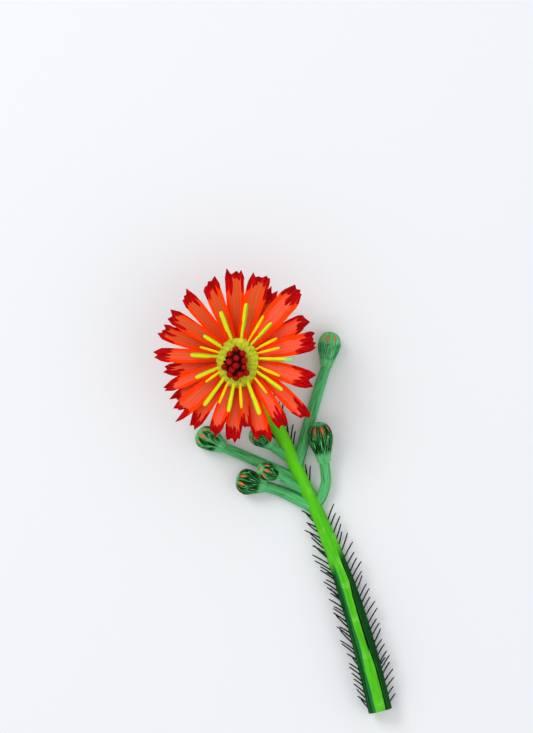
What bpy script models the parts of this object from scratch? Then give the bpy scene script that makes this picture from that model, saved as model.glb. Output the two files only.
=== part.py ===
# A cut flowering stem of fox and cubs (orange hawkweed), lying on a surface with its open flower facing up.
# One open flower and six buds on side stalks grow from a bristly stem.
# Everything is laid out in millimetres about the open flower's upright axis, where the surface is z = 0.
# The last step scales it to metres and hangs it from one empty.
import math
import random

import bpy
import bmesh
from mathutils import Matrix, Vector

MM = 0.001
GAP = 0.3                      # clearance between neighbouring pieces
BLADE = 0.6                    # thickness of a petal
FLOWER_AXIS = (-5.65, 20.10)   # where the open flower stands, from the middle of the whole
GOLDEN_ANGLE = math.radians(137.508)
CURVE_STEPS = 20               # fine steps between two given points of a curve
WELD = 0.02                    # nearer corners are made one where a stalk and its bud have grown together

# Main stem: its line on the surface from the cut end to the flower, with its radius at each point.
STEM_LINE = (
    (21.3, -53.2, 1.80), (18.9, -43.6, 1.72), (16.1, -34.4, 1.50), (12.6, -25.2, 1.12),
    (8.9, -17.2, 1.05), (5.8, -10.5, 1.08), (1.2, -2.2, 1.05),
)
STEM_SIDES = 12
STEM_RINGS = 34
NECK_BEND = 2.5                # radius of the turn from lying to upright under the flower
NECK_STEPS = 5
NECK_TOP = STEM_LINE[-1][2] + NECK_BEND

BRISTLE_COUNT = 170
BRISTLE_LENGTH = (2.2, 3.2)
BRISTLE_ROOT = 0.17
BRISTLE_SUNK = 0.35
BRISTLE_LEAN = math.radians(50)   # from the stem's line, towards the flower
BRISTLE_CLEAR = 0.45           # least height of a tip over the surface
BRISTLE_CHECKS = (0.3, 0.65, 1.0)   # places along a bristle that have to be clear of other growth
GROWTH_STEPS = 14

# Open flower, level by level from the top of the stem.
CUP_PROFILE = (
    (0.0, 1.05), (0.08, 1.50), (0.18, 1.95), (0.32, 2.30), (0.48, 2.50), (0.60, 2.58),
    (0.68, 2.60), (0.82, 2.58), (1.0, 2.50),
)
CUP_WIDEST = max(wide for share, wide in CUP_PROFILE)
CUP_HEIGHT = 5.2
CUP_BRACTS = 10
CUP_RELIEF = 0.60
CORE_RADIUS = 2.5              # discs that the petals and the yellow florets grow from
LAYER_STEP = 0.85              # height of the upper petals over the lower ones
PETAL_CORE = 0.8 + LAYER_STEP
YELLOW_CORE = 0.8
CUP_BASE = NECK_TOP + GAP
PETAL_BASE = CUP_BASE + CUP_HEIGHT + GAP
YELLOW_BASE = PETAL_BASE + PETAL_CORE + GAP
CENTRE_BASE = YELLOW_BASE + YELLOW_CORE + GAP

# Two overlapping rows of bracts go round the flower's cup and every bud. Widths are shares of a bract's room.
OUTER_TIP = 0.68               # share of the cup's height at which the outer bracts end in a point
INNER_TIP = 1.15               # the inner ones are cut off by the rim before theirs
INNER_LIFT = 0.38              # how far the inner bracts stand out, where the outer ones stand out 1
BRACT_HALF = 0.40
BRACT_STEP = 0.05
BRACT_CROWN = 0.22             # how much lower a bract's edges are than its middle

# Petals round the flower from the right through the top. Each has the angle of its tip, its reach from the
# axis, its width, how many degrees it sweeps, its layer, and the points along its toothed end. A point is how
# far it stands to the left of the petal's line, and how far it falls short of the reach.
PETALS = (
    (13, 11.9, 3.0, 0, "upper",
     ((-1.4, 1.3), (-1.1, 0.3), (-0.75, 0.7), (-0.4, 0.2), (-0.05, 0.7), (0.3, 0.35), (0.65, 0.6),
      (1.1, 0.0), (1.5, 0.6))),
    (30, 11.9, 2.6, 0, "lower",
     ((-1.25, 2.2), (-1.1, 1.5), (-0.95, 1.3), (-0.65, 0.0), (0.2, 0.4), (0.8, 0.45), (1.15, 1.2))),
    (49, 13.8, 3.4, 0, "upper",
     ((-1.3, 1.7), (-0.9, 0.5), (-0.6, 0.6), (-0.3, 0.1), (0.2, 0.5), (0.8, 0.0), (1.4, 1.5))),
    (63, 11.8, 2.0, 0, "lower",
     ((-0.8, 1.1), (-0.65, 0.2), (0.0, 1.2), (0.55, 0.0), (0.85, 1.1))),
    (75, 12.9, 3.2, 0, "upper",
     ((-1.6, 0.9), (-1.4, 0.2), (-1.15, 0.35), (-0.85, 0.0), (-0.3, 0.5), (0.3, 0.4), (0.7, 0.7),
      (1.2, 0.0), (1.5, 1.5))),
    (93, 13.5, 2.8, 0, "lower",
     ((-1.5, 1.7), (-1.1, 0.4), (-0.75, 1.0), (-0.4, 0.5), (0.5, 1.1), (1.1, 0.0), (1.4, 1.6))),
    (111, 12.7, 2.5, 0, "upper",
     ((-1.3, 1.3), (-1.1, 0.0), (-0.3, 0.6), (0.1, 0.4), (0.5, 1.0), (0.9, 1.0), (1.3, 1.6))),
    (130, 13.0, 2.3, 0, "lower",
     ((-1.1, 1.7), (-0.7, 0.0), (-0.1, 0.8), (0.3, 0.65), (0.55, 1.1), (0.9, 1.0), (1.15, 2.2))),
    (148, 12.5, 2.3, 0, "upper",
     ((-1.1, 1.4), (-0.7, 0.0), (0.0, 0.9), (0.75, 0.4), (1.1, 1.5))),
    (161, 12.7, 2.4, 0, "lower",
     ((-1.25, 1.4), (-1.1, 0.5), (-0.5, 1.1), (-0.1, 0.5), (0.15, 0.8), (0.45, 0.0), (1.1, 1.0))),
    (178, 12.8, 2.2, 0, "upper",
     ((-1.0, 1.2), (-0.4, 0.0), (0.0, 0.8), (0.4, 0.2), (0.85, 1.3))),
    (190, 11.5, 2.0, 0, "lower",
     ((-0.9, 1.2), (-0.75, 0.4), (-0.2, 0.75), (0.1, 0.0), (0.65, 1.0))),
    (202, 12.1, 1.9, 0, "upper",
     ((-0.7, 1.6), (-0.15, 0.0), (0.15, 0.5), (0.4, 0.05), (0.75, 1.2))),
    (212, 12.1, 1.6, 0, "lower",
     ((-0.65, 1.3), (-0.25, 0.0), (0.2, 1.1), (0.5, 1.0), (0.8, 1.9))),
    (222, 13.5, 2.9, 0, "upper",
     ((-1.2, 2.5), (-1.0, 1.2), (-0.5, 1.75), (-0.2, 1.65), (0.3, 2.7), (0.75, 0.0), (1.15, 1.2))),
    (236, 12.6, 2.2, 0, "lower",
     ((-0.7, 1.3), (-0.4, 0.1), (0.05, 0.6), (0.6, 0.0), (0.95, 1.4))),
    (252, 12.4, 2.1, 0, "upper",
     ((-0.95, 1.4), (-0.75, 0.8), (-0.2, 0.8), (0.3, 0.0), (0.55, 0.8), (0.8, 0.9), (1.0, 1.8))),
    (266, 12.7, 2.5, 0, "lower",
     ((-1.15, 1.3), (-0.9, 0.3), (-0.1, 0.8), (0.3, 0.0), (0.7, 0.8), (1.0, 0.6), (1.2, 2.6))),
    (277, 10.4, 1.5, 0, "upper",
     ((-0.75, 0.5), (-0.35, 0.0), (0.0, 0.15), (0.35, 0.0), (0.7, 0.4))),
    (287, 13.5, 2.8, 0, "lower",
     ((-1.35, 2.1), (-1.0, 0.9), (-0.6, 1.6), (-0.2, 1.4), (0.25, 1.6), (0.8, 0.0), (1.4, 1.0))),
    (304, 12.4, 2.2, -6, "upper",
     ((-1.1, 1.8), (-0.95, 0.2), (-0.35, 0.6), (0.3, 0.0), (0.95, 0.7))),
    (319, 13.9, 2.3, -9, "lower",
     ((-0.9, 2.3), (-0.7, 1.0), (-0.2, 0.9), (0.3, 0.0), (0.95, 0.6))),
    (342, 11.9, 3.0, 0, "upper",
     ((-1.3, 1.1), (-0.7, 0.0), (0.0, 1.1), (1.1, 0.1), (1.45, 1.3))),
)
PETAL_ROOT = 1.9               # distance from the axis where a petal starts, inside its core
PETAL_STEPS = (0.0, 0.22, 0.46, 0.70)
PETAL_WIDTHS = (0.36, 0.58, 0.87, 1.0)
PETAL_CHANNEL = 0.12           # how far the middle lies under the edges
PETAL_SEAT = 0.1               # height of a lower petal's root over the foot of the core
PETAL_ARCH = ((0.0, 0.0), (4.2, 0.0), (6.5, 0.6), (8.5, 0.85), (10.0, 0.8), (14.0, 0.4))

# Yellow styles over the petals: angle and reach of each.
STYLES = (
    (14, 6.3), (27, 6.4), (47, 7.2), (60, 7.3), (82, 8.2), (111, 7.4), (148, 6.2), (164, 6.0), (176, 7.2),
    (205, 7.1), (216, 6.1), (234, 8.8), (247, 7.4), (259, 8.2), (273, 7.5), (290, 9.0), (308, 6.7),
    (323, 8.1), (337, 6.7), (358, 8.1),
)
STYLE_RADIUS = 0.33
STYLE_ROOT = 1.9
STYLE_SEAT = 0.4               # height of a style's root over the foot of the disc
STYLE_SLOPE = 0.24
RING_MIDDLE = (-0.15, -0.71)   # the yellow ring is an oval, set off the axis
RING_HALF = (3.35, 3.95)
TONGUE_COUNT = 22
TONGUE_ROOT = 1.2
TONGUE_WIDTH = 1.0
TONGUE_SLOPE = 0.055

# Dark closed florets: where each stands on an oval cushion over a narrower foot, from the cushion's middle.
FLORETS = (
    (0.00, 2.16), (-0.89, 1.43), (1.08, 1.56), (0.13, 0.83), (1.33, 0.47), (-0.92, 0.28), (0.04, -0.30),
    (-1.70, -0.49), (1.30, -0.49), (-0.58, -0.88), (1.63, -1.37), (0.69, -1.61), (-0.87, -1.66),
    (0.02, -2.15),
)
CUSHION_MIDDLE = (-0.45, -0.86)
FLORET_RADIUS = 0.53
FLORET_LIFT = 0.15             # how far the middle of a floret stands over the cushion
CUSHION = (1.75, 2.25)         # half widths of the oval
CUSHION_RISE = 0.7
CUSHION_SIDES = 16
FOOT_HEIGHT = 0.58
FOOT_SHARE = 0.68

# Buds: the line of the side stalk from the main stem to the bud, its radius, then the bud's heading and rise
# in degrees, its length and its greatest radius. A resting bud takes its height from the surface.
BUDS = (
    {"line": ((8.5, -17.2, 0.9), (9.5, -13.6, 0.85), (10.6, -9.6, 0.85), (11.8, -5.4, 0.9),
              (13.1, -1.25, 1.2)),
     "radius": 0.88, "heading": 82, "rise": 6, "length": 5.2, "girth": 1.64, "rests": True},
    {"line": ((10.9, -22.4, 1.0), (12.4, -20.9, 1.5), (13.1, -18.2, 1.8), (12.8, -15.6, 2.0)),
     "radius": 0.80, "heading": 99, "rise": 14, "length": 6.1, "girth": 1.78, "rests": False},
    {"line": ((9.3, -18.6, 0.8), (6.3, -17.1, 0.82), (3.0, -15.7, 0.85), (0.2, -14.5, 0.9),
              (-2.3, -13.5, 1.2)),
     "radius": 0.78, "heading": 150, "rise": 5, "length": 4.6, "girth": 1.74, "rests": True},
    {"line": ((8.1, -15.8, 1.2), (6.3, -14.2, 2.0), (5.3, -13.6, 2.35), (4.65, -13.15, 2.5)),
     "radius": 0.68, "heading": 142, "rise": 28, "length": 3.9, "girth": 1.34, "rests": False},
    {"line": ((9.8, -20.1, 1.5), (8.4, -19.2, 2.7), (7.2, -18.5, 3.2), (5.95, -17.75, 3.5)),
     "radius": 0.67, "heading": 158, "rise": 42, "length": 4.2, "girth": 1.32, "rests": False},
    {"line": ((10.9, -22.3, 0.9), (8.6, -21.2, 0.9), (6.3, -20.1, 0.95), (4.0, -19.3, 1.3)),
     "radius": 0.88, "heading": 166, "rise": 5, "length": 4.5, "girth": 1.84, "rests": True},
)
BUD_PROFILE = (
    (0.0, 0.46), (0.12, 0.53), (0.28, 0.64), (0.45, 0.78), (0.58, 0.88), (0.68, 0.94), (0.85, 1.0),
    (1.0, 0.95),
)
BUD_BRACTS = 5
BUD_RELIEF = 0.30
BUD_SCALLOP = 0.12             # how far the bract tips stand over the rim between them
BUD_CUP_SHARE = 0.74           # share of the bud's length that the bracts cover
BUD_TIP_PROFILE = ((0.0, 0.90), (0.35, 0.84), (0.70, 0.62), (0.92, 0.36), (1.0, 0.14))
BUD_TIP_PETALS = 7
BUD_TIP_FOLD = 0.14
STALK_SIDES = 8
STALK_RINGS = 11
STALK_SUNK = 1.0               # how far a stalk runs up inside its bud


def material(name, colour, roughness):
    made = bpy.data.materials.new(name)
    made.use_nodes = True
    shader = made.node_tree.nodes["Principled BSDF"]
    shader.inputs["Base Color"].default_value = (*colour, 1.0)
    shader.inputs["Roughness"].default_value = roughness
    shader.inputs["Metallic"].default_value = 0.0
    return made


def add_object(name, bm, finish=None, collection=None):
    bmesh.ops.recalc_face_normals(bm, faces=bm.faces[:])
    mesh = bpy.data.meshes.new(name)
    bm.to_mesh(mesh)
    bm.free()
    if finish:
        mesh.materials.append(finish)
    obj = bpy.data.objects.new(name, mesh)
    (collection or bpy.context.scene.collection).objects.link(obj)
    return obj


def new_collection(name):
    made = bpy.data.collections.new(name)
    bpy.context.scene.collection.children.link(made)
    return made


def smooth_line(points, count):
    # Evenly spaced points on a curve that passes through all the given ones.
    knots = [Vector(p) for p in points]
    knots = [2 * knots[0] - knots[1]] + knots + [2 * knots[-1] - knots[-2]]
    fine = []
    for a, b, c, d in zip(knots, knots[1:], knots[2:], knots[3:]):
        for i in range(CURVE_STEPS):
            t = i / CURVE_STEPS
            bend = (2 * a - 5 * b + 4 * c - d) * t**2 + (3 * b - a - 3 * c + d) * t**3
            fine.append(0.5 * (2 * b + (c - a) * t + bend))
    fine.append(knots[-2])
    along = [0.0]
    for a, b in zip(fine, fine[1:]):
        along.append(along[-1] + (b - a).length)
    line = []
    k = 0
    for i in range(count):
        want = along[-1] * i / (count - 1)
        while k < len(fine) - 2 and along[k + 1] < want:
            k += 1
        share = (want - along[k]) / (along[k + 1] - along[k])
        line.append(fine[k].lerp(fine[k + 1], share))
    return line


def interpolate(table, x):
    for (x0, y0), (x1, y1) in zip(table, table[1:]):
        if x <= x1:
            return y0 + (y1 - y0) * (x - x0) / (x1 - x0)
    return table[-1][1]


def bridge_rings(bm, rings):
    # Rings of points joined into one closed skin, with a fan of triangles over each end.
    loops = [[bm.verts.new(p) for p in ring] for ring in rings]
    count = len(rings[0])
    for lower, upper in zip(loops, loops[1:]):
        for i in range(count):
            j = (i + 1) % count
            bm.faces.new((lower[i], lower[j], upper[j], upper[i]))
    for loop in (loops[0], loops[-1]):
        middle = bm.verts.new(sum((v.co for v in loop), Vector()) / count)
        for i in range(count):
            bm.faces.new((loop[i], loop[(i + 1) % count], middle))


def round_ring(half_x, half_y, z, sides):
    turns = [2 * math.pi * i / sides for i in range(sides)]
    return [Vector((half_x * math.cos(a), half_y * math.sin(a), z)) for a in turns]


def ring_about(centre, side, up, radius, sides):
    # The ring starts half a side off straight down, so a lying tube is flat underneath.
    turns = [2 * math.pi * (i + 0.5) / sides for i in range(sides)]
    return [centre + (side * math.sin(a) - up * math.cos(a)) * radius for a in turns]


def apply_modifiers(obj):
    # The shape its modifiers give becomes the object's own mesh.
    graph = bpy.context.evaluated_depsgraph_get()
    mesh = bpy.data.meshes.new_from_object(obj.evaluated_get(graph))
    obj.modifiers.clear()
    obj.data = mesh


def cut_by(obj, cutter):
    cut = obj.modifiers.new("cut", "BOOLEAN")
    cut.operation = "DIFFERENCE"
    cut.solver = "MANIFOLD"
    cut.object = cutter
    apply_modifiers(obj)


def close_slivers(obj):
    # The thinnest triangles that growing together and cutting have left are closed up.
    bm = bmesh.new()
    bm.from_mesh(obj.data)
    bmesh.ops.remove_doubles(bm, verts=bm.verts[:], dist=WELD)
    bmesh.ops.dissolve_degenerate(bm, edges=bm.edges[:], dist=WELD / 3)
    bmesh.ops.triangulate(bm, faces=bm.faces[:])
    bm.to_mesh(obj.data)
    bm.free()


def grow_onto(obj, collection):
    # Everything in the collection is joined to the object as one solid, and the loose pieces are removed.
    join = obj.modifiers.new("join", "BOOLEAN")
    join.operation = "UNION"
    join.solver = "MANIFOLD"
    join.operand_type = "COLLECTION"
    join.collection = collection
    apply_modifiers(obj)
    for piece in list(collection.objects):
        bpy.data.objects.remove(piece)
    bpy.data.collections.remove(collection)
    return obj


def stem_frames():
    # Place, direction, side direction and radius along the stem. The lying stretch keeps its flat side on the
    # surface, and the neck turns it upright under the flower.
    flat = smooth_line(STEM_LINE, STEM_RINGS)
    half_side = math.cos(math.pi / STEM_SIDES)
    frames = []
    for i, point in enumerate(flat):
        ahead = flat[min(i + 1, len(flat) - 1)] - flat[max(i - 1, 0)]
        if i == len(flat) - 1:
            ahead = -point
        ahead = Vector((ahead.x, ahead.y, 0)).normalized()
        across = ahead.cross(Vector((0, 0, 1)))
        frames.append((Vector((point.x, point.y, point.z * half_side)), ahead, across, point.z))
    start, level, across, radius = frames[-1]
    for i in range(1, NECK_STEPS + 1):
        turn = math.radians(90) * i / NECK_STEPS
        place = start + level * NECK_BEND * math.sin(turn)
        place.z += NECK_BEND * (1 - math.cos(turn))
        ahead = level * math.cos(turn) + Vector((0, 0, math.sin(turn)))
        frames.append((place, ahead, across, radius))
    return frames


def stem_tube(name, frames, extra, finish=None):
    bm = bmesh.new()
    rings = []
    for place, ahead, across, radius in frames:
        rings.append(ring_about(place, across, across.cross(ahead), radius + extra, STEM_SIDES))
    bridge_rings(bm, rings)
    return add_object(name, bm, finish)


def near_side_growth(point, margin):
    # True where a bristle would come too close to a side stalk, a bud or the open flower's cup.
    for bud in BUDS:
        for place in smooth_line(bud["line"], GROWTH_STEPS):
            if (place - point).length < bud["radius"] + margin:
                return True
        base = Vector(bud["line"][-1])
        for i in range(GROWTH_STEPS):
            middle = base + bud_axis(bud) * bud["length"] * i / (GROWTH_STEPS - 1)
            if (middle - point).length < bud["girth"] + BUD_RELIEF + margin:
                return True
    return point.z > CUP_BASE - margin and math.hypot(point.x, point.y) < CUP_WIDEST + CUP_RELIEF + margin


def bristle_mesh(root, tip):
    bm = bmesh.new()
    ahead = (tip - root).normalized()
    side = ahead.cross(Vector((0.3, 0.5, 0.8))).normalized()
    corners = [bm.verts.new(p) for p in ring_about(root, side, side.cross(ahead), BRISTLE_ROOT, 3)]
    point = bm.verts.new(tip)
    bm.faces.new(corners)
    for i in range(3):
        bm.faces.new((corners[i], corners[(i + 1) % 3], point))
    return bm


def add_bristles(stem, frames, finish):
    # Bristles all round the stem, leaning towards the flower. The lowest ones bend up off the surface.
    random.seed(7)
    bristles = new_collection("bristles")
    for i in range(BRISTLE_COUNT):
        spot = 0.5 + (len(frames) - 3) * (i + random.random()) / BRISTLE_COUNT
        k = int(spot)
        place, ahead, across, radius = (a + (b - a) * (spot - k) for a, b in zip(frames[k], frames[k + 1]))
        turn = i * GOLDEN_ANGLE
        radial = across * math.cos(turn) + across.cross(ahead) * math.sin(turn)
        length = random.uniform(*BRISTLE_LENGTH)
        if radial.z < -0.8:
            continue
        root = place + radial * (radius - BRISTLE_SUNK)
        leaning = ahead * math.cos(BRISTLE_LEAN) + radial * math.sin(BRISTLE_LEAN)
        tip = root + leaning * (length + BRISTLE_SUNK)
        tip.z = max(tip.z, BRISTLE_CLEAR)
        root.z = max(root.z, 1.5 * BRISTLE_ROOT)
        if any(near_side_growth(root.lerp(tip, share), GAP + BRISTLE_ROOT) for share in BRISTLE_CHECKS):
            continue
        add_object("bristle", bristle_mesh(root, tip), finish, bristles)
    return grow_onto(stem, bristles)


def bract_edge(share, tip):
    return BRACT_HALF * math.sqrt(max(0.0, 1 - (share / tip) ** 3))


def bract_columns(share):
    # Places across one bract's room, from its middle, with how far the skin stands out there. The places
    # follow the bracts' edges as they narrow, so each edge is a small step.
    outer = bract_edge(share, OUTER_TIP)
    inner = bract_edge(share, INNER_TIP)
    groove = 0.5 - inner - BRACT_STEP
    covered = outer > groove
    edge = max(outer, groove)
    across = (0.5 - edge - BRACT_STEP) / inner
    half = (
        (edge, 1 - BRACT_CROWN if covered else 0.0),
        (edge + BRACT_STEP, INNER_LIFT * (1 - BRACT_CROWN * across**2)),
    )
    middle = ((0.0, 1.0 if covered else 0.0),)
    mirrored = tuple((1 - place, lift) for place, lift in reversed(half))
    return middle + half + ((0.5, INNER_LIFT),) + mirrored


def bract_cup(profile, height, radius, bracts, relief, scallop):
    bm = bmesh.new()
    rings = []
    for share, wide in profile:
        ring = []
        for i in range(bracts):
            for place, lift in bract_columns(share):
                turn = 2 * math.pi * (i + place) / bracts
                reach = radius * wide + relief * lift
                rise = height * share + (scallop * lift if share == 1.0 else 0.0)
                ring.append(Vector((reach * math.cos(turn), reach * math.sin(turn), rise)))
        rings.append(ring)
    bridge_rings(bm, rings)
    return bm


def core_disc(name, height, finish):
    bm = bmesh.new()
    bridge_rings(bm, [round_ring(CORE_RADIUS, CORE_RADIUS, z, 24) for z in (0.0, height)])
    return add_object(name, bm, finish)


def thicken(bm, depth):
    # A flat sheet becomes a blade with the same triangles on both faces.
    skin = bmesh.ops.extrude_face_region(bm, geom=bm.faces[:])
    raised = [v for v in skin["geom"] if isinstance(v, bmesh.types.BMVert)]
    bmesh.ops.translate(bm, vec=(0, 0, depth), verts=raised)


def petal_point(out, across, angle, reach, width, sweep):
    share = (out - PETAL_ROOT) / (reach - PETAL_ROOT)
    turn = math.radians(angle - sweep * max(0.0, 1 - share) ** 1.5)
    height = PETAL_SEAT + interpolate(PETAL_ARCH, out) + PETAL_CHANNEL * (2 * across / width) ** 2
    x = out * math.cos(turn) - across * math.sin(turn)
    y = out * math.sin(turn) + across * math.cos(turn)
    return Vector((x, y, height))


def petal_mesh(angle, reach, width, sweep, points):
    # Rows of three points up to the toothed end, which is one face that is then cut into triangles.
    bm = bmesh.new()
    rows = []
    for share, wide in zip(PETAL_STEPS, PETAL_WIDTHS):
        out = PETAL_ROOT + share * (reach - PETAL_ROOT)
        half = width * wide / 2
        places = [petal_point(out, y, angle, reach, width, sweep) for y in (half, 0.0, -half)]
        rows.append([bm.verts.new(place) for place in places])
    for (a, b, c), (d, e, f) in zip(rows, rows[1:]):
        for corners in ((a, b, e), (a, e, d), (b, c, e), (c, f, e)):
            bm.faces.new(corners)
    left, middle, right = rows[-1]
    tip = [bm.verts.new(petal_point(reach - short, y, angle, reach, width, sweep)) for y, short in points]
    end = bm.faces.new((middle, right, *tip, left))
    bmesh.ops.triangulate(bm, faces=[end])
    thicken(bm, BLADE)
    return bm


def open_petals(finish):
    core = core_disc("petals", PETAL_CORE, finish)
    petals = new_collection("loose_petals")
    for angle, reach, width, sweep, layer, points in PETALS:
        petal = add_object("petal", petal_mesh(angle, reach, width, sweep, points), finish, petals)
        if layer == "upper":
            petal.location.z = LAYER_STEP
    return grow_onto(core, petals)


def style_mesh(angle, reach):
    turn = math.radians(angle)
    out = Vector((math.cos(turn), math.sin(turn), 0))
    side = Vector((-out.y, out.x, 0))
    rings = []
    for share, wide in ((0.0, 0.8), (0.7, 1.0), (0.94, 0.9), (1.0, 0.4)):
        far = (reach - STYLE_ROOT) * share
        centre = out * (STYLE_ROOT + far) + Vector((0, 0, STYLE_SEAT + STYLE_SLOPE * far))
        rings.append(ring_about(centre, side, Vector((0, 0, 1)), STYLE_RADIUS * wide, 5))
    bm = bmesh.new()
    bridge_rings(bm, rings)
    return bm


def tongue_mesh(angle, shorter):
    # A short blunt floret, flat and rounded at its end.
    turn = math.radians(angle)
    out = Vector((math.cos(turn), math.sin(turn), 0))
    side = Vector((-out.y, out.x, 0))
    reach = 1 / math.hypot(out.x / RING_HALF[0], out.y / RING_HALF[1]) - shorter
    half = TONGUE_WIDTH / 2
    outline = ((TONGUE_ROOT, 0.4 * half), (reach - 0.4, half), (reach, 0.5 * half),
               (reach, -0.5 * half), (reach - 0.4, -half), (TONGUE_ROOT, -0.4 * half))
    bm = bmesh.new()
    middle = Vector((*RING_MIDDLE, 0))
    corners = [middle + out * x + side * y + Vector((0, 0, TONGUE_SLOPE * x)) for x, y in outline]
    bm.faces.new([bm.verts.new(p) for p in corners])
    thicken(bm, BLADE)
    return bm


def yellow_florets(finish):
    core = core_disc("yellow_florets", YELLOW_CORE, finish)
    parts = new_collection("yellow_parts")
    for i in range(TONGUE_COUNT):
        add_object("tongue", tongue_mesh(360 * i / TONGUE_COUNT, 0.25 * (i % 2)), finish, parts)
    for angle, reach in STYLES:
        add_object("style", style_mesh(angle, reach), finish, parts)
    return grow_onto(core, parts)


def centre_florets(finish):
    long_x, long_y = CUSHION
    foot = (long_x * FOOT_SHARE, long_y * FOOT_SHARE)
    rings = [round_ring(*foot, z, CUSHION_SIDES) for z in (0.0, FOOT_HEIGHT)]
    for wide in (0.96, 0.75, 0.45):
        high = FOOT_HEIGHT + CUSHION_RISE * (1.1 - wide**2)
        rings.append(round_ring(long_x * wide, long_y * wide, high, CUSHION_SIDES))
    bm = bmesh.new()
    bridge_rings(bm, rings)
    core = add_object("centre_florets", bm, finish)
    heads = new_collection("closed_florets")
    for x, y in FLORETS:
        wide = min(1.0, (x / long_x) ** 2 + (y / long_y) ** 2)
        high = FOOT_HEIGHT + CUSHION_RISE * (1.1 - wide) + FLORET_LIFT
        head = bmesh.new()
        bmesh.ops.create_icosphere(head, subdivisions=2, radius=FLORET_RADIUS,
                                   matrix=Matrix.Translation((x, y, high)))
        add_object("head", head, finish, heads)
    grow_onto(core, heads)
    core.data.transform(Matrix.Translation((*CUSHION_MIDDLE, 0)))
    return core


def bud_axis(bud):
    heading = math.radians(bud["heading"])
    rise = math.radians(bud["rise"])
    return Vector((math.cos(heading) * math.cos(rise), math.sin(heading) * math.cos(rise), math.sin(rise)))


def stalk_mesh(line, radius, end_radius):
    # The ring directions are carried along the line without twist.
    places = smooth_line(line, STALK_RINGS)
    rings = []
    up = Vector((0, 0, 1))
    for i, place in enumerate(places):
        ahead = (places[min(i + 1, STALK_RINGS - 1)] - places[max(i - 1, 0)]).normalized()
        side = ahead.cross(up).normalized()
        up = side.cross(ahead)
        share = i / (STALK_RINGS - 1)
        rings.append(ring_about(place, side, up, radius + (end_radius - radius) * share**3, STALK_SIDES))
    bm = bmesh.new()
    bridge_rings(bm, rings)
    return bm


def bud_tip_mesh(radius, height):
    # Folded petals closed over the bud.
    count = 2 * BUD_TIP_PETALS
    rings = []
    for share, wide in BUD_TIP_PROFILE:
        ring = []
        for i in range(count):
            turn = 2 * math.pi * i / count
            reach = radius * wide * (1 - BUD_TIP_FOLD * (i % 2))
            rise = height * (share - BUD_TIP_FOLD * (i % 2) * (share > 0))
            ring.append(Vector((reach * math.cos(turn), reach * math.sin(turn), rise)))
        rings.append(ring)
    bm = bmesh.new()
    bridge_rings(bm, rings)
    return bm


def place_along(obj, start, turn):
    obj.location = start
    obj.rotation_mode = "QUATERNION"
    obj.rotation_quaternion = turn


def make_bud(number, bud, finishes, stem_clearance):
    # Each bud's own +Z runs from its stalk to its tip. The stalk and the green bracts are one body.
    axis = bud_axis(bud)
    turn = axis.to_track_quat("Z", "Y")
    cup_height = bud["length"] * BUD_CUP_SHARE
    shell = bract_cup(BUD_PROFILE, cup_height, bud["girth"], BUD_BRACTS, BUD_RELIEF, BUD_SCALLOP)
    base = Vector(bud["line"][-1])
    if bud["rests"]:
        base.z = -min((turn @ v.co).z for v in shell.verts)
    green = add_object(f"bud_{number}", shell, finishes["bud"])

    line = [Vector(p) for p in bud["line"][:-1]] + [base, base + axis * STALK_SUNK]
    stalk_bm = stalk_mesh(line, bud["radius"], 0.9 * bud["girth"] * BUD_PROFILE[0][1])
    stalk_bm.transform((Matrix.Translation(base) @ turn.to_matrix().to_4x4()).inverted())
    stalks = new_collection("stalk")
    add_object("stalk", stalk_bm, finishes["bud"], stalks)
    grow_onto(green, stalks)
    place_along(green, base, turn)
    cut_by(green, stem_clearance)
    close_slivers(green)

    seat = cup_height + BUD_SCALLOP + GAP
    folded = bud_tip_mesh(bud["girth"], bud["length"] - seat)
    tip = add_object(f"bud_petals_{number}", folded, finishes["bud_petals"])
    place_along(tip, base + axis * seat, turn)
    return [green, tip]


def open_flower(finishes):
    cup = add_object("flower_bracts", bract_cup(CUP_PROFILE, CUP_HEIGHT, 1.0, CUP_BRACTS, CUP_RELIEF, 0.0),
                     finishes["bracts"])
    levels = (
        (cup, CUP_BASE),
        (open_petals(finishes["petals"]), PETAL_BASE),
        (yellow_florets(finishes["yellow"]), YELLOW_BASE),
        (centre_florets(finishes["centre"]), CENTRE_BASE),
    )
    for piece, height in levels:
        piece.location.z = height
    return [piece for piece, height in levels]


def main():
    for old in list(bpy.data.objects):
        bpy.data.objects.remove(old)
    finishes = {
        "stem": material("stem_green", (0.12, 0.42, 0.02), 0.55),
        "bud": material("bud_green", (0.08, 0.36, 0.12), 0.6),
        "bracts": material("bract_green", (0.02, 0.13, 0.03), 0.6),
        "bud_petals": material("bud_orange", (0.80, 0.13, 0.05), 0.5),
        "petals": material("petal_orange", (0.90, 0.09, 0.01), 0.45),
        "yellow": material("floret_yellow", (0.62, 0.60, 0.03), 0.5),
        "centre": material("floret_red", (0.38, 0.0, 0.01), 0.25),
    }
    frames = stem_frames()
    stem = stem_tube("stem", frames, 0.0, finishes["stem"])
    stem_clearance = stem_tube("stem_clearance", frames, GAP / math.cos(math.pi / STEM_SIDES))
    pieces = open_flower(finishes)
    for number, bud in enumerate(BUDS, start=1):
        pieces += make_bud(number, bud, finishes, stem_clearance)
    bpy.data.objects.remove(stem_clearance)
    pieces.append(add_bristles(stem, frames, finishes["stem"]))

    flower = bpy.data.objects.new("flower", None)
    bpy.context.scene.collection.objects.link(flower)
    flower.location = (FLOWER_AXIS[0] * MM, FLOWER_AXIS[1] * MM, 0)
    for piece in pieces:
        piece.data.transform(Matrix.Scale(MM, 4))
        piece.location *= MM
        piece.data.shade_smooth()
        piece.data.set_sharp_from_angle(angle=math.radians(32))
        piece.parent = flower


main()
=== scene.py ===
import random
from math import atan, atan2, cos, hypot, pi, radians, sin, sqrt

import bpy
import bmesh
from mathutils import Color, Matrix, Vector


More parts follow.
